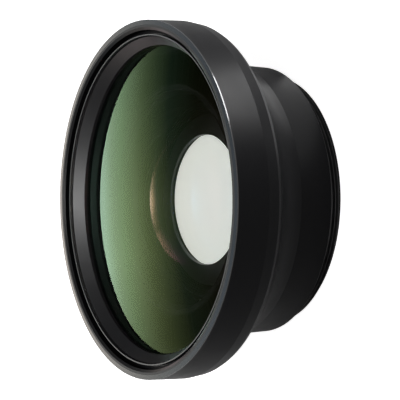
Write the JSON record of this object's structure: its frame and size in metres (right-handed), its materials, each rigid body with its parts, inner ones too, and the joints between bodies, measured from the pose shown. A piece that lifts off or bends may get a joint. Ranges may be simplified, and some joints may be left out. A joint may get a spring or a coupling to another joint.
{
  "type": "wide-angle conversion lens",
  "caption": "Round black wide-angle conversion lens with a large coated front glass in a wide ring, a concave neck and a smaller rear barrel with a male mounting thread.",
  "frame": {"origin": "on the optical axis, at the end of the threaded collar that the part stands on", "axes": "+Z along the optical axis from the thread to the large front glass; the part is round about Z, and the slots of the rear retaining ring lie along X"},
  "size_m": [0.0662, 0.066, 0.0282],
  "materials": {
    "black_anodised": "black anodised, fine satin",
    "black_turned": "black anodised, turned satin",
    "black_thread": "black anodised",
    "matt_black": "matt black",
    "soft_ring": "matt",
    "coated_glass": "polished, green coating",
    "clear_glass": "polished",
    "rear_glass": "polished, coated"
  },
  "bodies": {
    "root": {"main_barrel": "black_anodised", "front_retaining_ring": "black_turned", "front_lens": "coated_glass", "front_seat_ring": "soft_ring", "light_baffle": "matt_black", "rear_mount_cell": "black_thread", "rear_doublet_positive": "clear_glass", "rear_doublet_negative": "rear_glass", "rear_retaining_ring": "black_turned"}
  },
  "joints": []
}
